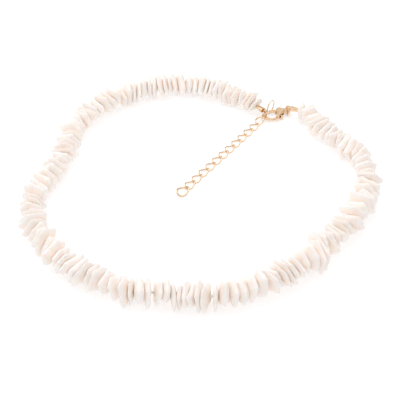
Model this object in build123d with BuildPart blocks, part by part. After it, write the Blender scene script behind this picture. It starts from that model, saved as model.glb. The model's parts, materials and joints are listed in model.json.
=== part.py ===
from build123d import *
import math
import os

os.makedirs("parts", exist_ok=True)

# All lengths are in millimetres and all angles in degrees.

# Thread: one limp cord through every chip, laid in an open loop over the table
thread_diameter = 0.8
thread_route = [
    (43.4, 28.1), (50.4, 18.7), (58.6, 7.4), (59.0, -6.0), (53.0, -18.0), (45.0, -28.5),
    (35.5, -38.0), (26.5, -46.0), (15.0, -51.5), (3.0, -55.7), (-9.5, -53.7), (-22.0, -53.5),
    (-33.5, -48.0), (-46.0, -40.0), (-55.0, -28.5), (-59.8, -16.0), (-56.0, -3.5), (-51.0, 8.5),
    (-50.5, 21.5), (-45.5, 35.5), (-35.0, 45.5), (-22.0, 51.7), (-10.0, 54.1), (2.0, 53.0),
    (11.5, 46.5),
]
bend_reach = 0.45  # share of the shorter run that a bend takes up
bend_out = 3.4  # from a crimp's face to the thread's first bend

# Shell chips: uneven flakes, thick round the hole and thin at the rim
chip_width = 9.9
chip_width_spread = 0.14  # share of the width
chip_hub = 2.09  # thickness at the hole
chip_hub_spread = 0.38  # share of the hub
chip_rim = 0.85  # thickness at the rim
chip_rim_spread = 0.35  # share of the rim
hub_width = 3.2
chip_corners = 5
corner_spread = 0.2  # share of the radius
corner_turn = 17.0  # how far a corner wanders round the rim
chip_shift = 0.07  # how far off its hole a chip may be centred, as a share of the radius
chip_lean = 21.0  # most a chip leans from square to the thread
lean_wave = 23.0  # how far the lean moves on from chip to chip
lean_wave_up = 31.0  # the same for the lean up and down
lean_share = 0.7  # share of the lean that follows the wave, and the rest is uneven
chip_gap = 0.12  # clear space between two chips
hole_clearance = 0.22  # each side of the thread
thread_height_share = 0.443  # height of the thread over the table, as a share of a chip's width
place_tries = 24  # most steps to a chip's place
free_tries = 8  # steps that may also go back
place_tolerance = 0.01

# Chips that stand out, by their share of the string's length. The point is how far one corner
# is drawn out, and towards is its direction, from straight up over the inside of the loop.
standouts = [
    # share, width, hub, point, towards
    (0.003, 0.76, 0.80, 1.00, 0),
    (0.152, 0.97, 0.90, 1.12, 250),
    (0.222, 0.85, 0.80, 1.30, 60),
    (0.237, 0.85, 0.75, 1.32, 50),
    (0.256, 0.90, 0.85, 1.28, 65),
    (0.266, 1.20, 0.80, 1.26, 240),
    (0.306, 1.13, 0.80, 1.00, 0),
    (0.345, 0.97, 1.10, 1.08, 225),
    (0.376, 0.88, 0.60, 1.32, 230),
    (0.388, 0.97, 0.80, 1.18, 228),
    (0.411, 0.90, 0.70, 1.36, 226),
    (0.438, 1.00, 0.80, 1.22, 224),
    (0.453, 0.82, 0.60, 1.20, 230),
    (0.464, 0.93, 1.20, 1.06, 225),
    (0.520, 0.99, 1.00, 1.14, 235),
    (0.567, 0.85, 0.80, 1.25, 270),
    (0.590, 0.85, 0.75, 1.26, 280),
    (0.700, 1.02, 0.90, 1.10, 300),
    (0.995, 0.78, 0.80, 1.00, 0),
]
standout_reach = 1.3  # how far along the thread a chip may be from such a share
open_share = 0.431  # the string stands a little open here
open_gap = 1.0

# Lobster clasp, flat on the table: u runs from the hook to the tail and v towards the gate
clasp_centre = (29.9, 37.7)
clasp_turn = 18.0
clasp_length = 12.0
clasp_thickness = 2.4
clasp_edge = 0.7  # rounding of the body's outer edges
hook_radius = 3.55
hook_bar = 1.0
hook_thickness = 0.9
hook_edge = 0.3
hook_v = 0.4
hook_tip_angle = 97.0
heel_radius = 1.5
heel_angle = -35.0
tail_radius = 1.35
tail_hole_diameter = 1.5
tail_thickness = 0.8
tail_v = 1.0
pivot_u = 1.5
pivot_v = 1.9
pivot_radius = 1.35
pin_diameter = 0.8

# Lever: the gate arm closes the hook and the thumb arm stands out past the heel
lever_thickness = 0.9
lever_width = 0.9
lever_boss = 1.8
lever_clearance = 0.12
gate_length = 4.2
gate_angle = 168.0
thumb_length = 4.65
thumb_angle = -98.0
thumb_pad_diameter = 1.0
thumb_pad_height = 1.5
lever_swing = 20.0

# Cord ends: a folded crimp round the thread, with an eye for the ring
crimp_length = 3.2
crimp_width = 2.2
crimp_height = 1.7
crimp_taper = 0.72  # how wide and high its thread end is, as a share of its eye end
crimp_corner = 0.5
crimp_blind = 0.6  # solid end behind the eye
bore_clearance = 0.1  # each side of the thread
cord_end_height = 3.6  # over the table, lower than the string
eye_diameter = 2.1
eye_hole_diameter = 1.2
eye_thickness = 0.6
eye_reach = 1.0  # from the crimp's face to the middle of the eye
left_crimp_heading = -50.0
right_crimp_heading = -20.0

# Wire rings that join the cord ends to the clasp and the chain
ring_wire = 0.5
ring_lift = 0.05  # under a standing ring
left_ring_turn = 50.0
left_ring_angle = 180.0  # where it holds the hook's bar, from the clasp's u
right_ring_turn = -88.0
right_ring_reach = 1.28  # from the tail hole's middle to the ring's

# Gate ring: a free oval ring that stands on edge round the gate, leaned against it
gate_ring_length = 6.3
gate_ring_width = 4.2
gate_ring_wire = 0.42
gate_ring_turn = 45.0
gate_ring_tilt = 15.0
gate_ring_place = (27.15, 40.13)

# Extender chain: twisted links, each end rolled away from the other
link_count = 12
link_pitch = 4.15
link_width = 3.5
link_wire = 0.5
link_twist = -42.0
link_clearance = 0.15
chain_heading = -127.0
hang_angle = 0.0  # where the first link holds the left ring, below level
hang_gap = 0.18  # between the first link and the ring that holds it
end_link_length = 5.6
end_link_width = 4.4
end_link_wire = 0.6
end_link_twist = -30.0


def uneven(index, trait):
    """A fixed share from -1 to 1 for one trait of one chip."""
    return 2 * ((math.sin(12.9898 * index + 78.233 * trait) * 43758.5453) % 1) - 1


def heading(angle):
    """The level direction at an angle from +X."""
    return Vector(math.cos(math.radians(angle)), math.sin(math.radians(angle)), 0)


def on_clasp(u, v, z=0.0):
    """A place given in the clasp's own directions."""
    return Vector(*clasp_centre, z) + heading(clasp_turn) * u + heading(clasp_turn + 90) * v


def oval_point(length, width, twist, turn):
    """A point round a wire loop whose two ends are rolled apart by twice the twist."""
    roll = math.radians(twist) * math.cos(turn)
    across = width / 2 * math.sin(turn)
    return Vector(length / 2 * math.cos(turn), across * math.cos(roll), across * math.sin(roll))


def oval_heading(length, width, twist, turn):
    """The loop's direction at that point."""
    ahead = oval_point(length, width, twist, turn + 0.001)
    behind = oval_point(length, width, twist, turn - 0.001)
    return (ahead - behind).normalized()


def wire_loop(length, width, wire, twist=0.0):
    """A closed loop of round wire with its outer size given, made in four equal stretches."""
    with BuildPart() as loop:
        for quarter in range(4):
            turns = [math.pi / 2 * (quarter + step / 4) for step in range(5)]
            points = [oval_point(length - wire, width - wire, twist, turn) for turn in turns]
            start = oval_heading(length - wire, width - wire, twist, turns[0])
            end = oval_heading(length - wire, width - wire, twist, turns[-1])
            with BuildLine() as stretch:
                Spline(*points, tangents=(start, end))
            with BuildSketch(Plane(origin=points[0], z_dir=start)):
                Circle(wire / 2)
            sweep(path=stretch.line)
    return loop.part


def cord_end(eye, out):
    """A folded crimp whose eye is at a place and whose thread comes from behind it."""
    face = eye - out * eye_reach
    with BuildPart() as crimp:
        for place, size in [(face - out * crimp_length, crimp_taper), (face, 1)]:
            with BuildSketch(Plane(origin=place, x_dir=(-out.Y, out.X, 0), z_dir=out)):
                RectangleRounded(crimp_width * size, crimp_height * size, crimp_corner * size)
        loft()
        with BuildSketch(Plane(origin=eye, x_dir=out, z_dir=(-out.Y, out.X, 0))):
            Circle(eye_diameter / 2)
        extrude(amount=eye_thickness / 2, both=True)
        with BuildSketch(Plane(origin=eye, x_dir=out, z_dir=(-out.Y, out.X, 0))):
            Circle(eye_hole_diameter / 2)
        extrude(amount=crimp_width, both=True, mode=Mode.SUBTRACT)
        with BuildSketch(Plane(origin=face - out * crimp_length, z_dir=out)):
            Circle(thread_diameter / 2 + bore_clearance)
        extrude(amount=crimp_length - crimp_blind, mode=Mode.SUBTRACT)
    return crimp.part


# Lobster clasp body: a thin hook that runs into a thick heel, with a pocket for the lever
middle = clasp_thickness / 2
clasp_plane = Plane(origin=(*clasp_centre, 0), x_dir=heading(clasp_turn), z_dir=(0, 0, 1))
hook_u = hook_radius - clasp_length / 2
tail_u = clasp_length / 2 - tail_radius
heel_reach = hook_radius - heel_radius
heel_u = hook_u + heel_reach * math.cos(math.radians(heel_angle))
heel_v = hook_v + heel_reach * math.sin(math.radians(heel_angle))
pocket_height = lever_thickness + 2 * lever_clearance
bar_reach = hook_radius - hook_bar / 2
hook_axis = Axis(on_clasp(hook_u, hook_v, middle), (0, 0, 1))
hook_tip_way = heading(clasp_turn + hook_tip_angle)
hook_way = heading(clasp_turn + hook_tip_angle + 90)
hook_tip = on_clasp(hook_u, hook_v, middle) + hook_tip_way * bar_reach


def from_pivot(reach, angle):
    """A place in the clasp's u and v, by its distance and direction from the pivot."""
    turn = math.radians(angle)
    return (pivot_u + reach * math.cos(turn), pivot_v + reach * math.sin(turn))


def arm_sweep(reach, angle):
    """The places that an arm's end passes as the lever swings."""
    return [from_pivot(reach, angle + lever_swing * step / 4) for step in range(5)]


arm_radius = lever_width / 2
gate_reach = gate_length - arm_radius
thumb_reach = thumb_length - arm_radius
pocket_radius = arm_radius + lever_clearance

with BuildPart() as clasp_body:
    # Hook
    with BuildSketch(Plane(origin=hook_tip, x_dir=hook_tip_way, z_dir=hook_way)):
        RectangleRounded(hook_bar, hook_thickness, hook_edge)
    revolve(axis=hook_axis, revolution_arc=360 + heel_angle - hook_tip_angle)
    # Flat tail
    with BuildSketch(clasp_plane.offset(middle)):
        with Locations((tail_u, tail_v)):
            Circle(tail_radius)
        with Locations((pivot_u, pivot_v)):
            Circle(pivot_radius)
        make_hull()
    extrude(amount=tail_thickness / 2, both=True)
    # Heel
    with BuildSketch(clasp_plane.offset(middle)):
        with Locations((pivot_u, pivot_v)):
            Circle(pivot_radius)
        with Locations((heel_u, heel_v)):
            Circle(heel_radius)
        with Locations((tail_u - 2 * tail_radius, tail_v)):
            Circle(tail_radius)
        make_hull()
    extrude(amount=clasp_thickness / 2, both=True)
    rims = clasp_body.edges().filter_by(Plane.XY)
    fillet(rims.group_by(Axis.Z)[0] + rims.group_by(Axis.Z)[-1], clasp_edge)
    # Opening inside the hook, and the tail hole
    with BuildSketch(clasp_plane.offset(middle)):
        with Locations((hook_u, hook_v)):
            Circle(hook_radius - hook_bar)
        with Locations((tail_u, tail_v)):
            Circle(tail_hole_diameter / 2)
    extrude(amount=clasp_thickness, both=True, mode=Mode.SUBTRACT)
    # Pocket for the lever's boss
    with BuildSketch(clasp_plane.offset(middle)):
        with Locations((pivot_u, pivot_v)):
            Circle(lever_boss / 2 + lever_clearance)
    extrude(amount=pocket_height / 2, both=True, mode=Mode.SUBTRACT)
    # Pocket for the thumb arm
    with BuildSketch(clasp_plane.offset(middle)):
        with Locations((pivot_u, pivot_v), *arm_sweep(thumb_reach, thumb_angle)):
            Circle(pocket_radius)
        make_hull()
    extrude(amount=pocket_height / 2, both=True, mode=Mode.SUBTRACT)
    # Pocket for the gate arm
    with BuildSketch(clasp_plane.offset(middle)):
        with Locations((pivot_u, pivot_v), *arm_sweep(gate_reach / 2, gate_angle)):
            Circle(pocket_radius)
        make_hull()
    extrude(amount=pocket_height / 2, both=True, mode=Mode.SUBTRACT)
    # Pin
    with BuildSketch(clasp_plane.offset(middle)):
        with Locations((pivot_u, pivot_v)):
            Circle(pin_diameter / 2)
    extrude(amount=pocket_height, both=True)
clasp_body.part.label = "clasp_body"
export_step(clasp_body.part, "parts/clasp_body.step")

# Lever: one flat piece on the pin, with a thumb pad at its outer end
with BuildPart() as clasp_lever:
    # Gate arm
    with BuildSketch(clasp_plane.offset(middle)):
        with Locations((pivot_u, pivot_v), from_pivot(gate_reach, gate_angle)):
            Circle(arm_radius)
        make_hull()
    extrude(amount=lever_thickness / 2, both=True)
    # Thumb arm
    with BuildSketch(clasp_plane.offset(middle)):
        with Locations((pivot_u, pivot_v), from_pivot(thumb_reach, thumb_angle)):
            Circle(arm_radius)
        make_hull()
    extrude(amount=lever_thickness / 2, both=True)
    # Boss round the pin
    with BuildSketch(clasp_plane.offset(middle)):
        with Locations((pivot_u, pivot_v)):
            Circle(lever_boss / 2)
    extrude(amount=lever_thickness / 2, both=True)
    # Thumb pad
    with BuildSketch(clasp_plane.offset(middle)):
        with Locations(from_pivot(thumb_reach, thumb_angle)):
            Circle(thumb_pad_diameter / 2)
    extrude(amount=thumb_pad_height / 2, both=True)
    # Hole for the pin
    with BuildSketch(clasp_plane.offset(middle)):
        with Locations((pivot_u, pivot_v)):
            Circle(pin_diameter / 2 + lever_clearance)
    extrude(amount=clasp_thickness, both=True, mode=Mode.SUBTRACT)
clasp_lever.part.label = "clasp_lever"
export_step(clasp_lever.part, "parts/clasp_lever.step")

# Standing rings: the left one goes round the hook, the right one through the tail's hole,
# and the top of each passes through a cord end's eye
ring_size = cord_end_height - ring_lift + ring_wire / 2
ring_radius = (ring_size - ring_wire) / 2
ring_middle = ring_lift + ring_size / 2
bar_way = heading(clasp_turn + left_ring_angle)
left_ring_centre = on_clasp(hook_u, hook_v, ring_middle) + bar_way * bar_reach
right_ring_centre = on_clasp(tail_u, tail_v, ring_middle) + heading(right_ring_turn) * right_ring_reach
standing_rings = [
    ("left_ring", left_ring_centre, left_ring_turn),
    ("right_ring", right_ring_centre, right_ring_turn),
]
for name, centre, turn in standing_rings:
    with BuildPart() as standing_ring:
        with Locations(Plane(origin=centre, x_dir=heading(turn), z_dir=heading(turn - 90))):
            add(wire_loop(ring_size, ring_size, ring_wire))
    standing_ring.part.label = name
    export_step(standing_ring.part, f"parts/{name}.step")

# Gate ring, resting on the table
gate_way = heading(gate_ring_turn)
tilt_up = math.cos(math.radians(gate_ring_tilt))
tilt_along = math.sin(math.radians(gate_ring_tilt))
tall_half = (gate_ring_length - gate_ring_wire) / 2
wide_half = (gate_ring_width - gate_ring_wire) / 2
gate_drop = math.sqrt((tall_half * tilt_up) ** 2 + (wide_half * tilt_along) ** 2)
gate_height = gate_drop + gate_ring_wire / 2 + ring_lift
with BuildPart() as gate_ring:
    with Locations(
        Plane(
            origin=(*gate_ring_place, gate_height),
            x_dir=gate_way * tilt_along + Vector(0, 0, tilt_up),
            z_dir=heading(gate_ring_turn + 90),
        )
    ):
        add(wire_loop(gate_ring_length, gate_ring_width, gate_ring_wire))
gate_ring.part.label = "gate_ring"
export_step(gate_ring.part, "parts/gate_ring.step")

# Cord ends, with the eyes round the tops of the two rings
left_out = heading(left_crimp_heading)
right_out = -heading(right_crimp_heading)
left_eye = left_ring_centre + Vector(0, 0, ring_radius)
right_eye = right_ring_centre + Vector(0, 0, ring_radius)
for name, eye, out in [("left_cord_end", left_eye, left_out), ("right_cord_end", right_eye, right_out)]:
    with BuildPart() as cord_end_piece:
        add(cord_end(eye, out))
    cord_end_piece.part.label = name
    export_step(cord_end_piece.part, f"parts/{name}.step")

# Thread: from inside the right crimp, round the loop and into the left crimp
thread_height = chip_width * thread_height_share
end_reach = eye_reach + crimp_blind + bore_clearance
bend_place = eye_reach + crimp_length + bend_out
route = [right_eye - right_out * end_reach, right_eye - right_out * bend_place]
route += [Vector(x, y, thread_height) for x, y in thread_route]
route += [left_eye - left_out * bend_place, left_eye - left_out * end_reach]
bend_radii = []
for before, bend, after in zip(route, route[1:], route[2:]):
    shorter = min((bend - before).length, (after - bend).length)
    half_turn = math.radians((bend - before).get_angle(after - bend)) / 2
    bend_radii.append(bend_reach * shorter / math.tan(half_turn))
print("bend radii of the thread:", [round(radius, 1) for radius in bend_radii])
with BuildPart() as thread:
    with BuildLine() as thread_line:
        FilletPolyline(*route, radius=bend_radii)
    with BuildSketch(Plane(origin=route[0], z_dir=-right_out)):
        Circle(thread_diameter / 2)
    sweep(path=thread_line.wire())
thread.part.label = "thread"
export_step(thread.part, "parts/thread.step")
thread_path = thread_line.wire()
section = math.pi * thread_diameter**2 / 4
volume_share = thread.part.volume / (section * thread_path.length)
print("thread length:", round(thread_path.length, 1), "volume share:", round(volume_share, 4))

# Shell chips, set one after the other along the thread so that no two touch
string_start = crimp_length - crimp_blind - bore_clearance
string_length = thread_path.length - 2 * string_start
open_place = string_start + open_share * string_length


def thread_at(place):
    """The thread's point and direction at a distance along it."""
    point = thread_path.position_at(place, position_mode=PositionMode.LENGTH)
    return point, thread_path.tangent_at(place, position_mode=PositionMode.LENGTH)


def chip_traits(index, place):
    """A chip's width, hub, rim, drawn-out corner and leans, from its number and its place."""
    width = chip_width * (1 + chip_width_spread * uneven(index, 1))
    hub = chip_hub * (1 + chip_hub_spread * uneven(index, 2))
    rim = chip_rim * (1 + chip_rim_spread * uneven(index, 3))
    point, towards = 1.0, 0.0
    share = (place - string_start) / string_length
    for at, wider, thicker, drawn, direction in standouts:
        if abs(share - at) * string_length < standout_reach:
            width, hub, point, towards = chip_width * wider, chip_hub * thicker, drawn, direction
    wave_in = math.sin(math.radians(lean_wave * index))
    wave_up = math.cos(math.radians(lean_wave_up * index))
    lean_in = chip_lean * (lean_share * wave_in + (1 - lean_share) * uneven(index, 4))
    lean_up = chip_lean * (lean_share * wave_up + (1 - lean_share) * uneven(index, 5))
    return width, hub, min(rim, hub), point, towards, lean_in, lean_up


def chip_shape(index, place):
    """A chip's plane, its four levels as a height and the corners there, and its hole's way."""
    centre, direction = thread_at(place)
    width, hub, rim, point, towards, lean_in, lean_up = chip_traits(index, place)
    tilted = direction + direction.cross(Vector(0, 0, 1)) * math.tan(math.radians(lean_in))
    facing = (tilted + Vector(0, 0, math.tan(math.radians(lean_up)))).normalized()
    inside = facing.cross(Vector(0, 0, 1)).normalized()
    up = inside.cross(facing)
    spin = 180 * uneven(index, 6)
    if point > 1:
        spin = towards - corner_turn * uneven(index, 10)
    corners = []
    for corner in range(chip_corners):
        angle = spin + 360 / chip_corners * corner + corner_turn * uneven(index, 10 + corner)
        shift = chip_shift * math.cos(math.radians(angle - 180 * uneven(index, 7)))
        radius = width / 2 * (1 + shift + corner_spread * uneven(index, 30 + corner))
        apart = abs((angle - towards + 180) % 360 - 180)
        if apart < 180 / chip_corners:
            radius = width / 2 * point
        across, along = math.cos(math.radians(angle)), math.sin(math.radians(angle))
        drop = max(-up.Z * across, 0.001)
        radius = min(radius, (centre.Z - rim / 2 * abs(facing.Z)) / drop)
        corners.append((across * radius, along * radius))
    levels = []
    hub_share = hub_width / width
    for height, share in [(-hub / 2, hub_share), (-rim / 2, 1), (rim / 2, 1), (hub / 2, hub_share)]:
        levels.append((height, [(x * share, y * share) for x, y in corners]))
    return Plane(origin=centre, x_dir=up, z_dir=facing), levels, direction


def crimp_face(place):
    """A crimp's end, in the same form as a chip."""
    centre, direction = thread_at(place)
    high, wide = crimp_height * crimp_taper / 2, crimp_width * crimp_taper / 2
    face = [(x * high, y * wide) for x in (-1, 1) for y in (-1, 1)]
    plane = Plane(origin=centre, x_dir=(0, 0, 1), z_dir=direction)
    return plane, [(0.0, face)], direction


def lack_of_room(before, after):
    """How much further along the second of two neighbours has to be."""
    way = (before[0].z_dir + after[0].z_dir).normalized()
    reaches = []
    for plane, levels, _ in (before, after):
        points = [plane.from_local_coords((x, y, height)) for height, corners in levels for x, y in corners]
        reaches.append([point.dot(way) for point in points])
    return max(reaches[0]) - min(reaches[1]) + chip_gap


def string_chips():
    """Every chip's shape, from the right cord end to the left one."""
    shapes = [crimp_face(string_start)]
    end_face = crimp_face(string_start + string_length)
    last_place = string_start
    while True:
        place = last_place + chip_hub
        for attempt in range(place_tries):
            shape = chip_shape(len(shapes), place)
            lack = max(lack_of_room(before, shape) for before in shapes[-2:])
            if last_place < open_place <= place:
                lack += open_gap
            if attempt > free_tries:
                lack = max(lack, 0)
            if abs(lack) < place_tolerance:
                break
            place += lack
        near_end = place + 2 * chip_hub > string_start + string_length
        if near_end and lack_of_room(shape, end_face) > 0:
            print("bare thread before the left cord end:", round(-lack_of_room(shapes[-1], end_face), 2))
            return shapes[1:]
        shapes.append(shape)
        last_place = place


def shell_chip(plane, levels, direction):
    """One drilled flake: a lens with straight facets between its corners."""
    with BuildPart() as chip:
        for height, corners in levels:
            with BuildSketch(plane.offset(height)):
                with BuildLine():
                    Polyline(*corners, close=True)
                make_face()
        loft(ruled=True)
        with BuildSketch(Plane(origin=plane.origin, z_dir=direction)):
            Circle(thread_diameter / 2 + hole_clearance)
        extrude(amount=chip_width, both=True, mode=Mode.SUBTRACT)
    return chip.part


chips = [shell_chip(*shape) for shape in string_chips()]
print("shell chips:", len(chips))
half = len(chips) // 2
for name, stretch in [("shell_chips_right", chips[:half]), ("shell_chips_left", chips[half:])]:
    with BuildPart() as shell_chips:
        add(stretch)
    shell_chips.part.label = name
    export_step(shell_chips.part, f"parts/{name}.step")

# Extender chain: the first link hangs on the left ring and the rest lie in a straight line
link_length = link_pitch + 2 * link_wire + link_clearance
with BuildPart() as link:
    add(wire_loop(link_length, link_width, link_wire, link_twist))
link_box = link.part.bounding_box()
chain_height = -link_box.min.Z
chain_way = heading(chain_heading)
hang_radius = ring_radius - ring_wire / 2 - link_wire / 2 - hang_gap
hang_side = hang_radius * math.cos(math.radians(hang_angle))
hang_drop = hang_radius * math.sin(math.radians(hang_angle))
first_tip = left_ring_centre - heading(left_ring_turn) * hang_side - Vector(0, 0, hang_drop)
first_rise = first_tip.Z - chain_height
half_link = (link_length - link_wire) / 2
first_way = (chain_way * math.sqrt(4 * half_link**2 - first_rise**2) - Vector(0, 0, first_rise)).normalized()
joint = first_tip + first_way * link_pitch
row_start = Vector(joint.X, joint.Y, chain_height)
centres = [first_tip + first_way * half_link]
centres += [row_start + chain_way * (link_pitch * number + half_link) for number in range(link_count - 1)]
for number, centre in enumerate(centres):
    way = chain_way if number else first_way
    with BuildPart() as chain_link:
        with Locations(Plane(origin=centre, x_dir=way, z_dir=way.cross(heading(chain_heading + 90)))):
            add(link.part)
    chain_link.part.label = f"link_{number + 1:02d}"
    export_step(chain_link.part, f"parts/link_{number + 1:02d}.step")

# End link, wider than the others and of thicker wire
with BuildPart() as end_link_loop:
    add(wire_loop(end_link_length, end_link_width, end_link_wire, end_link_twist))
end_half = (end_link_length - end_link_wire) / 2
end_hold = (link_wire + end_link_wire) / 2 + link_clearance
end_reach_out = half_link + end_half - end_hold
end_spot = centres[-1] + chain_way * end_reach_out
end_height = -end_link_loop.part.bounding_box().min.Z
with BuildPart() as end_link:
    with Locations(Plane(origin=(end_spot.X, end_spot.Y, end_height), x_dir=chain_way, z_dir=(0, 0, 1))):
        add(end_link_loop.part)
end_link.part.label = "end_link"
export_step(end_link.part, "parts/end_link.step")
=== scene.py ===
import bmesh
import bpy
import json
import math
import numpy as np
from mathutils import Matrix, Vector, noise


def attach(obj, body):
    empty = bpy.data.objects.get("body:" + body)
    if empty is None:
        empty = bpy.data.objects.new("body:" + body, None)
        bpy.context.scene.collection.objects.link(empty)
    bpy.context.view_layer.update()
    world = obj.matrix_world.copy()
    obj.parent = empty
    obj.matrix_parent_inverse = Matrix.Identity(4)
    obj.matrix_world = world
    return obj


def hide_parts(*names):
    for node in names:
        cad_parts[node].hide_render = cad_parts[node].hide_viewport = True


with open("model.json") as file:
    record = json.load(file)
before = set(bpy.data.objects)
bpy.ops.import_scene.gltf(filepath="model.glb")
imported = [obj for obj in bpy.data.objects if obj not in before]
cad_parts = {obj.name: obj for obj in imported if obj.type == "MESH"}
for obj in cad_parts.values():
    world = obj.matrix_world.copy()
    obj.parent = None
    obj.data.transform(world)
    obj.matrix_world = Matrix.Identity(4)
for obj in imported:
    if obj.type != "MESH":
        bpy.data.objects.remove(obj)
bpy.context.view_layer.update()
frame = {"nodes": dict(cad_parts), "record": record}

# Camera: the photograph's view, from the front and 45 degrees above the table
MM = 0.001
AIM = Vector((-1.3, -13.5, 3.7)) * MM
ELEVATION = math.radians(45)
DISTANCE = 230 * MM
SENSOR = 36.0  # width of the sensor, in millimetres, as is the lens
LENS = 59.94
CLIP = (0.01, 20)  # the nearest and farthest that the camera sees, in metres

# Shell flakes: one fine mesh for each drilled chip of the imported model
STRING = ("shell_chips_right", "shell_chips_left")  # from the clasp's tail round to its hook
CLASP_TURN = math.radians(50)  # the clasp's direction from the middle of the loop
NEIGHBOURS = (-2, -1, 1, 2)  # steps along the string to the chips that limit a flake's room
TURNS = 48  # points round a flake
SHARES = (0.001, 0.16, 0.32, 0.48, 0.62, 0.74, 0.84, 0.91, 0.96, 0.99)  # rings, hole to rim
ROUNDING = 9  # degrees each side over which a corner is rounded
FULLNESS = 1.4  # thickness of a flake that has room, as a share of the CAD hub's
LENS_ROUND = 2.2  # a flake's section: higher is fuller
LENS_POINT = 0.62  # higher is sharper at the rim
SOFTNESS = 0.12 * MM  # rounding where a flake meets the limit of its room
HOLE_BEVEL = 0.12 * MM  # slope round the mouths of the hole
SWELL = 0.05 * MM  # how far a flake may pass the CAD chip towards its neighbour
FACE_WAVE = 0.05 * MM  # about how much a face rises and sinks
RIDGE = 0.03 * MM  # depth of the growth ridges
NICK = 1.0 * MM  # large bites out of the outline, where it is far from its longest reach
SMALL_NICK = 0.2 * MM  # small bites all round
NICK_FADE = 4  # higher keeps the small bites up to the longest reach
NICK_PACE = 2.2  # how quickly the large bites change round the outline
SMALL_NICK_PACE = 6.0  # the same for the small bites
FACE_PACE = 0.5  # how quickly a face rises and sinks, for each millimetre
RIDGE_PACE = 1.7  # the same for the ridges, outwards from the hole
RIDGE_TURN = 0.5  # and round it
LAYER_WAVE = 0.35  # how far a flake's bands of colour follow its uneven faces
LEAST_HALF = 0.02 * MM  # half of a flake's least thickness
DRIFT = (7.31, 3.77, 1.93)  # from one flake's place in the noise to the next
RIDGE_DRIFT = 2.3  # the same for the ridges
TONE_DRIFT = 1.37  # and for the flakes' tones
TONE_PLACE = (4.2, 0.5)  # the other two coordinates at which the tones are read
TONE_PACE = 1.9  # how quickly the tones change
HOLE_REACH = 1.2 * MM  # points nearer to the thread than this belong to the hole
CENTRE_STEPS = 6  # steps in which the hole's middle is found
RIM_POINTS = 8  # farthest points of a chip, which are corners of its rim
NEAR_POINTS = 3  # nearest points to such a corner, one of which is across the rim
MERGE = 1e-7  # points nearer to each other than this are one, in metres
LEAST_AREA = 1e-12  # three points that span less are in line, in square metres
LEAST_CROSS = 1e-12  # an edge that goes less than this across a direction lies along it
EDGE_SLACK = 1e-6  # share by which an edge is taken longer, so that none is missed
PIECES_A_NODE = 2  # objects that stand for one node of chips

# Light: a bright studio with a darker band over the horizon, and a softbox above the back left
SKY_GLOW = 1.01
SKY = [(0.0, 0.95), (0.06, 0.25), (0.25, 0.45), (0.6, 0.95), (1.0, 0.9)]  # height and brightness
KEY_PLACE = (-0.12, 0.16, 0.32)  # the softbox, which is turned towards the origin
KEY_SIZE = (0.4, 0.4)
KEY_POWER = 0.6
FLOOR_HALF = 8.0  # half of the floor's side, in metres
FLOOR_GLOW = 0.47
SHELL_PAINTED_GLOW = 0.05  # painted glow: light that the shell gives off of itself, standing in for light through the thin shell

# The sockets of the mix node that hold colours
MIX_FACTOR, MIX_FIRST, MIX_SECOND, MIX_RESULT = 0, 6, 7, 2


def set_camera():
    data = bpy.data.cameras.new("camera")
    data.sensor_width = SENSOR
    data.lens = LENS
    data.clip_start, data.clip_end = CLIP
    camera = bpy.data.objects.new("camera", data)
    back = Vector((0, -math.cos(ELEVATION), math.sin(ELEVATION)))
    camera.location = AIM + back * DISTANCE
    camera.rotation_euler = (-back).to_track_quat("-Z", "Y").to_euler()
    bpy.context.scene.collection.objects.link(camera)
    bpy.context.scene.camera = camera


def new_material(name):
    material = bpy.data.materials.new(name)
    material.use_nodes = True
    tree = material.node_tree
    shader = tree.nodes["Principled BSDF"]
    return material, tree, shader


def node(tree, kind, inputs=None, **settings):
    """A shader node with its settings, and its inputs as values or as sockets to link."""
    made = tree.nodes.new(kind)
    for name, value in settings.items():
        setattr(made, name, value)
    for name, value in (inputs or {}).items():
        if isinstance(value, bpy.types.NodeSocket):
            tree.links.new(value, made.inputs[name])
        else:
            made.inputs[name].default_value = value
    return made


def ramp(tree, factor, stops):
    """A colour ramp with its stops as place and colour."""
    made = tree.nodes.new("ShaderNodeValToRGB")
    tree.links.new(factor, made.inputs["Fac"])
    elements = made.color_ramp.elements
    while len(elements) < len(stops):
        elements.new(0.5)
    for element, (place, colour) in zip(elements, stops):
        element.position = place
        element.color = (*colour, 1)
    return made.outputs["Color"]


def multiply(tree, share, first, second):
    """The socket of a first colour multiplied, by a share, by a second."""
    made = tree.nodes.new("ShaderNodeMix")
    made.data_type = "RGBA"
    made.blend_type = "MULTIPLY"
    made.inputs[MIX_FACTOR].default_value = share
    tree.links.new(first, made.inputs[MIX_FIRST])
    tree.links.new(second, made.inputs[MIX_SECOND])
    return made.outputs[MIX_RESULT]


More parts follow.
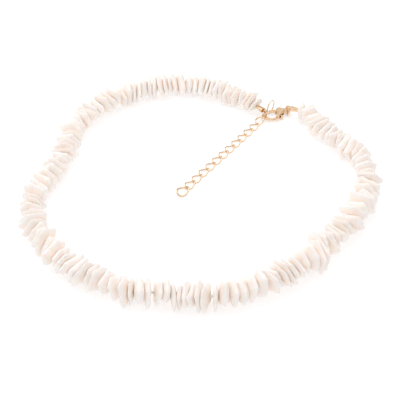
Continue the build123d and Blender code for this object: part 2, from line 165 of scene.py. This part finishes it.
def shell_material():
    material, tree, shader = new_material("shell")
    place = node(tree, "ShaderNodeTexCoord").outputs["Object"]
    tone = node(tree, "ShaderNodeAttribute", attribute_name="tone").outputs["Fac"]
    depth = node(tree, "ShaderNodeAttribute", attribute_name="depth").outputs["Fac"]
    layer = node(tree, "ShaderNodeAttribute", attribute_name="layer").outputs["Fac"]
    cloud = node(tree, "ShaderNodeTexNoise", {"Vector": place, "Scale": 420.0, "Detail": 4.0})
    grain = node(tree, "ShaderNodeTexNoise", {"Vector": place, "Scale": 2600.0, "Detail": 3.0})
    chip = ramp(tree, tone, [
        (0.1, (0.95, 0.885, 0.845)),
        (0.4, (0.95, 0.895, 0.88)),
        (0.65, (0.955, 0.91, 0.905)),
        (0.9, (0.96, 0.93, 0.94)),
    ])
    patch = ramp(tree, cloud.outputs["Fac"], [
        (0.35, (0.99, 0.945, 0.90)),
        (0.6, (1.0, 1.0, 1.0)),
    ])
    body = multiply(tree, 0.6, chip, patch)
    # Painted shade: the colour turns warmer and darker towards the hole, where the flakes crowd into
    # shaded hollows
    painted_hollow_shade = ramp(tree, depth, [
        (0.55, (1.0, 0.94, 0.87)),
        (0.95, (1.0, 1.0, 1.0)),
    ])
    body = multiply(tree, 0.8, body, painted_hollow_shade)
    bands = node(tree, "ShaderNodeTexNoise", {
        "W": layer,
        "Scale": 9.0,
        "Detail": 2.0,
    }, noise_dimensions="1D")
    band = ramp(tree, bands.outputs["Fac"], [
        (0.40, (0.985, 0.94, 0.90)),
        (0.58, (1.0, 1.0, 1.0)),
    ])
    body = multiply(tree, 0.5, body, band)
    tree.links.new(body, shader.inputs["Base Color"])
    rough = node(tree, "ShaderNodeMapRange", {
        "Value": cloud.outputs["Fac"],
        "To Min": 0.28,
        "To Max": 0.55,
    })
    tree.links.new(rough.outputs["Result"], shader.inputs["Roughness"])
    shader.inputs["Subsurface Weight"].default_value = 0.5
    shader.inputs["Subsurface Radius"].default_value = (1.0, 0.75, 0.6)
    shader.inputs["Subsurface Scale"].default_value = 1.8 * MM
    # Painted glow: the shell gives off a faint warm light of its own, though it is no lamp, which
    # lifts its shaded hollows
    shader.inputs["Emission Color"].default_value = (1.0, 0.93, 0.87, 1.0)
    shader.inputs["Emission Strength"].default_value = SHELL_PAINTED_GLOW
    shader.inputs["Coat Weight"].default_value = 0.15
    shader.inputs["Coat Roughness"].default_value = 0.2
    fine = node(tree, "ShaderNodeBump", {
        "Height": grain.outputs["Fac"],
        "Strength": 0.25,
        "Distance": 0.06 * MM,
    })
    ridges = node(tree, "ShaderNodeBump", {
        "Height": bands.outputs["Fac"],
        "Normal": fine.outputs["Normal"],
        "Strength": 0.5,
        "Distance": 0.12 * MM,
    })
    tree.links.new(ridges.outputs["Normal"], shader.inputs["Normal"])
    return material


def gold_material():
    material, tree, shader = new_material("gold")
    place = node(tree, "ShaderNodeTexCoord").outputs["Object"]
    wear = node(tree, "ShaderNodeTexNoise", {"Vector": place, "Scale": 700.0, "Detail": 5.0})
    scratch = node(tree, "ShaderNodeTexNoise", {"Vector": place, "Scale": 5200.0, "Detail": 2.0})
    colour = ramp(tree, wear.outputs["Fac"], [
        (0.35, (0.77, 0.55, 0.355)),
        (0.6, (0.86, 0.63, 0.42)),
    ])
    tree.links.new(colour, shader.inputs["Base Color"])
    shader.inputs["Metallic"].default_value = 1.0
    rough = node(tree, "ShaderNodeMapRange", {
        "Value": wear.outputs["Fac"],
        "To Min": 0.08,
        "To Max": 0.2,
    })
    tree.links.new(rough.outputs["Result"], shader.inputs["Roughness"])
    bump = node(tree, "ShaderNodeBump", {
        "Height": scratch.outputs["Fac"],
        "Strength": 0.08,
        "Distance": 0.02 * MM,
    })
    tree.links.new(bump.outputs["Normal"], shader.inputs["Normal"])
    return material


def thread_material():
    material, tree, shader = new_material("thread")
    place = node(tree, "ShaderNodeTexCoord").outputs["Object"]
    strands = node(tree, "ShaderNodeTexWave", {"Vector": place, "Scale": 900.0, "Distortion": 3.0})
    fibre = node(tree, "ShaderNodeTexNoise", {"Vector": place, "Scale": 6000.0, "Detail": 3.0})
    colour = ramp(tree, strands.outputs["Fac"], [
        (0.2, (0.86, 0.79, 0.70)),
        (0.7, (0.94, 0.90, 0.85)),
    ])
    tree.links.new(colour, shader.inputs["Base Color"])
    shader.inputs["Roughness"].default_value = 0.8
    shader.inputs["Sheen Weight"].default_value = 0.3
    twist = node(tree, "ShaderNodeBump", {
        "Height": strands.outputs["Fac"],
        "Strength": 0.6,
        "Distance": 0.1 * MM,
    })
    fuzz = node(tree, "ShaderNodeBump", {
        "Height": fibre.outputs["Fac"],
        "Normal": twist.outputs["Normal"],
        "Strength": 0.3,
        "Distance": 0.04 * MM,
    })
    tree.links.new(fuzz.outputs["Normal"], shader.inputs["Normal"])
    return material


def floor_material():
    material, tree, shader = new_material("floor")
    place = node(tree, "ShaderNodeTexCoord").outputs["Object"]
    mottle = node(tree, "ShaderNodeTexNoise", {"Vector": place, "Scale": 14.0, "Detail": 3.0})
    colour = ramp(tree, mottle.outputs["Fac"], [
        (0.3, (0.62, 0.62, 0.62)),
        (0.7, (0.64, 0.64, 0.64)),
    ])
    tree.links.new(colour, shader.inputs["Base Color"])
    shader.inputs["Roughness"].default_value = 0.9
    shader.inputs["Specular IOR Level"].default_value = 0.1
    shader.inputs["Emission Color"].default_value = (1.0, 1.0, 1.0, 1.0)
    shader.inputs["Emission Strength"].default_value = FLOOR_GLOW
    return material


def make_object(name, points, faces, material):
    mesh = bpy.data.meshes.new(name)
    mesh.from_pydata([tuple(point) for point in points], [], faces)
    mesh.materials.append(material)
    mesh.shade_smooth()
    made = bpy.data.objects.new(name, mesh)
    bpy.context.scene.collection.objects.link(made)
    return made


def solids_of(cad_node):
    """The loose solids of a CAD node, each as an array of its points."""
    mesh = bmesh.new()
    mesh.from_mesh(cad_node.data)
    bmesh.ops.remove_doubles(mesh, verts=mesh.verts, dist=MERGE)
    mesh.verts.ensure_lookup_table()
    seen = set()
    solids = []
    for first in mesh.verts:
        if first.index in seen:
            continue
        seen.add(first.index)
        group = [first]
        for vertex in group:
            for edge in vertex.link_edges:
                other = edge.other_vert(vertex)
                if other.index not in seen:
                    seen.add(other.index)
                    group.append(other)
        solids.append(np.array([vertex.co[:] for vertex in group]))
    mesh.free()
    return solids


def hull_of(flat):
    """The corners of the outline round some points of a plane, in turn."""
    order = sorted(map(tuple, flat))
    sides = []
    for run in (order, order[::-1]):
        side = []
        for point in run:
            while len(side) > 1:
                (ax, ay), (bx, by) = side[-2], side[-1]
                if (bx - ax) * (point[1] - ay) - (by - ay) * (point[0] - ax) > LEAST_AREA:
                    break
                side.pop()
            side.append(point)
        sides += side[:-1]
    return np.array(sides)


def unit(vector):
    return vector / np.linalg.norm(vector)


def facing_of(points):
    """The way that a chip's faces look: the short edge of its rim across which it is thinnest."""
    away = np.linalg.norm(points - points.mean(axis=0), axis=1)
    least, facing = None, None
    for point in points[np.argsort(away)[-RIM_POINTS:]]:
        steps = points - point
        reach = np.linalg.norm(steps, axis=1)
        for near in np.argsort(reach)[1:NEAR_POINTS + 1]:
            way = steps[near] / reach[near]
            thickness = np.ptp(points @ way)
            if least is None or thickness < least:
                least, facing = thickness, way
    return facing


def measure(points, ahead):
    """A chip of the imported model: its centre, directions, thickness, outline and hole."""
    facing = facing_of(points)
    if facing @ ahead < 0:
        facing = -facing
    up = unit(np.array((0.0, 0.0, 1.0)) - facing * facing[2])
    side = np.cross(facing, up)
    centre = points.mean(axis=0)
    for _ in range(CENTRE_STEPS):
        away = points - centre
        away -= np.outer(away @ facing, facing)
        near = np.linalg.norm(away, axis=1) < HOLE_REACH
        centre = centre + away[near].mean(axis=0)
    heights = (points - centre) @ facing
    middle = (heights.max() + heights.min()) / 2
    centre = centre + facing * middle
    heights -= middle
    flat = np.stack([(points - centre) @ up, (points - centre) @ side], axis=1)
    above, below = flat[near & (heights > 0)], flat[near & (heights < 0)]
    thick = heights[near & (heights > 0)].mean() - heights[near & (heights < 0)].mean()
    return {
        "points": points,
        "centre": centre,
        "facing": facing,
        "up": up,
        "side": side,
        "hub": heights.max(),
        "corners": hull_of(flat),
        "lean": (above.mean(axis=0) - below.mean(axis=0)) / thick,
        "hole": np.linalg.norm(above - above.mean(axis=0), axis=1).min(),
    }


def reach_at(corners, turn):
    """How far an outline with these corners reaches in a direction."""
    way = np.array((math.cos(turn), math.sin(turn)))
    best = 0.0
    for first, second in zip(corners, np.roll(corners, -1, axis=0)):
        along = second - first
        cross = way[0] * along[1] - way[1] * along[0]
        if abs(cross) < LEAST_CROSS:
            continue
        distance = (first[0] * along[1] - first[1] * along[0]) / cross
        share = (first[0] * way[1] - first[1] * way[0]) / cross
        if distance > best and -EDGE_SLACK <= share <= 1 + EDGE_SLACK:
            best = distance
    return best


def chips_in_order():
    """Every chip of the string, from the clasp's tail round to the hook, with its limits."""
    found = []
    for cad_name in STRING:
        for points in solids_of(frame["nodes"][cad_name]):
            middle = points.mean(axis=0)
            turn = (CLASP_TURN - math.atan2(middle[1], middle[0])) % (2 * math.pi)
            found.append((turn, cad_name, points, middle))
    found.sort(key=lambda chip: chip[0])
    chips = []
    for index, (_, cad_name, points, middle) in enumerate(found):
        before = found[max(index - 1, 0)][3]
        after = found[min(index + 1, len(found) - 1)][3]
        chips.append({"cad_name": cad_name, **measure(points, after - before)})
    for index, chip in enumerate(chips):
        chip["limits"] = {1: [], -1: []}
        for step in NEIGHBOURS:
            other = chips[min(max(index + step, 0), len(chips) - 1)]
            way = unit(chip["facing"] + other["facing"]) * math.copysign(1, step)
            most = (chip["points"] @ way).max() + SWELL
            chip["limits"][1 if step > 0 else -1].append((way, most))
        low, high = chip["points"][:, 2].min(), chip["points"][:, 2].max()
        for sign in (1, -1):
            rise = sign * chip["facing"][2]
            way = np.array((0.0, 0.0, math.copysign(1.0, rise)))
            chip["limits"][sign].append((way, high if rise > 0 else -low))
    return chips


def room_at(chip, spot, sign):
    """How thick a chip may be on one side at a spot of its middle plane."""
    ways = [(most - spot @ way) / (sign * chip["facing"] @ way) for way, most in chip["limits"][sign]]
    return min(ways)


def softly_least(first, second):
    """The smaller of two lengths, with a rounded change from one to the other."""
    gap = max(SOFTNESS - abs(first - second), 0.0)
    return min(first, second) - gap * gap / (4 * SOFTNESS)


def flake(chip, seed):
    """The points of one fine flake, ring after ring round its section, and their traits."""
    turns = [2 * math.pi * step / TURNS for step in range(TURNS)]
    fine = [reach_at(chip["corners"], math.radians(degree)) for degree in range(360)]
    spread = range(-ROUNDING, ROUNDING + 1)
    farthest = max(fine)
    drift = Vector([seed * step for step in DRIFT])
    reach = []
    for turn in turns:
        degree = round(math.degrees(turn))
        even = sum(fine[(degree + shift) % 360] for shift in spread) / len(spread)
        round_way = Vector((math.cos(turn), math.sin(turn), 0))
        large = max(0.0, noise.noise(round_way * NICK_PACE + drift))
        small = 0.5 + noise.noise(round_way * SMALL_NICK_PACE + drift)
        nick = NICK * large * (1 - even / farthest)
        nick += SMALL_NICK * small * (1 - (even / farthest) ** NICK_FADE)
        reach.append(even - nick)
    full = chip["hub"] * FULLNESS
    hole, lean = chip["hole"], chip["lean"]
    rings, depths, layers = [], [], []
    section = [(1, 0.0)] + [(1, share) for share in SHARES] + [(0, 1.0)]
    section += [(-1, share) for share in reversed(SHARES)] + [(-1, 0.0), (0, 0.0)]
    for sign, share in section:
        ring = []
        for turn, limit in zip(turns, reach):
            way = np.array((math.cos(turn), math.sin(turn)))
            start = hole + HOLE_BEVEL
            distance = start + (limit - start) * share if share else hole
            spot = chip["centre"] + (chip["up"] * way[0] + chip["side"] * way[1]) * distance
            out = distance / limit
            height = 0.0
            rough = noise.noise(Vector(spot) / MM * FACE_PACE + drift)
            if sign:
                lens = full * (1 - min(out, 1.0) ** LENS_ROUND) ** LENS_POINT
                room = room_at(chip, spot, sign)
                height = softly_least(lens, room) - FACE_WAVE * (0.5 + rough) * min(lens / full, 1.0)
                outwards = distance / MM * RIDGE_PACE
                ridge = noise.noise(Vector((outwards, seed * RIDGE_DRIFT, turn * RIDGE_TURN)))
                height -= RIDGE * (0.5 + ridge) * out
                height = sign * max(height, LEAST_HALF)
                if not share:
                    height -= sign * HOLE_BEVEL
            middle = lean * height * (1 - out)
            spot = spot + chip["up"] * middle[0] + chip["side"] * middle[1]
            ring.append(spot + chip["facing"] * height)
            depths.append(out)
            layers.append(height / MM + LAYER_WAVE * rough + seed)
        rings.append(ring)
    return rings, depths, layers


def flake_piece(name, chips, first, material):
    """One object of several flakes, which stands for part of a CAD node."""
    points, faces, depths, layers, tones = [], [], [], [], []
    for index, chip in enumerate(chips):
        seed = first + index
        rings, depth, layer = flake(chip, seed)
        start = len(points)
        for ring in rings:
            points += ring
        depths += depth
        layers += layer
        tone = 0.5 + 0.5 * noise.noise(Vector((seed * TONE_DRIFT, *TONE_PLACE)) * TONE_PACE)
        tones += [tone] * (len(rings) * TURNS)
        for row in range(len(rings)):
            this, after = row * TURNS, (row + 1) % len(rings) * TURNS
            for turn in range(TURNS):
                on = (turn + 1) % TURNS
                corners = (this + turn, this + on, after + on, after + turn)
                faces.append(tuple(start + corner for corner in corners))
    piece = make_object(name, points, faces, material)
    for trait, values in (("depth", depths), ("layer", layers), ("tone", tones)):
        piece.data.attributes.new(trait, "FLOAT", "POINT").data.foreach_set("value", values)
    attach(piece, "necklace")
    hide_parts(chips[0]["cad_name"])


def make_flakes():
    material = shell_material()
    chips = chips_in_order()
    seed = 0
    for cad_name in STRING:
        own = [chip for chip in chips if chip["cad_name"] == cad_name]
        share = math.ceil(len(own) / PIECES_A_NODE)
        for number in range(PIECES_A_NODE):
            some = own[number * share:(number + 1) * share]
            flake_piece(f"{cad_name}_flakes_{number + 1}", some, seed, material)
            seed += len(some)


def dress_metal():
    gold = gold_material()
    for part in frame["record"]["subparts"]:
        if part["material_slot"] == "gold":
            cad = frame["nodes"][part["node"]]
            cad.data.materials.clear()
            cad.data.materials.append(gold)


def dress_thread():
    cad = frame["nodes"]["thread"]
    cad.data.materials.clear()
    cad.data.materials.append(thread_material())


def make_floor():
    signs = ((-1, -1), (1, -1), (1, 1), (-1, 1))
    corners = [(x * FLOOR_HALF, y * FLOOR_HALF, 0) for x, y in signs]
    floor = make_object("floor", corners, [(0, 1, 2, 3)], floor_material())


def make_softbox():
    data = bpy.data.lights.new("key", "AREA")
    data.shape = "RECTANGLE"
    data.size, data.size_y = KEY_SIZE
    data.energy = KEY_POWER
    softbox = bpy.data.objects.new("key", data)
    softbox.location = KEY_PLACE
    softbox.rotation_euler = (-Vector(KEY_PLACE)).to_track_quat("-Z", "Y").to_euler()
    bpy.context.scene.collection.objects.link(softbox)


def make_sky():
    world = bpy.data.worlds.new("studio")
    world.use_nodes = True
    tree = world.node_tree
    way = node(tree, "ShaderNodeTexCoord").outputs["Generated"]
    height = node(tree, "ShaderNodeSeparateXYZ", {"Vector": way}).outputs["Z"]
    sky = ramp(tree, height, [(place, (glow, glow, glow)) for place, glow in SKY])
    tree.links.new(sky, tree.nodes["Background"].inputs["Color"])
    tree.nodes["Background"].inputs["Strength"].default_value = SKY_GLOW
    bpy.context.scene.world = world


set_camera()
make_floor()
make_sky()
make_softbox()
make_flakes()
dress_metal()
dress_thread()

bpy.context.scene.view_settings.view_transform = "Standard"
bpy.context.view_layer.update()
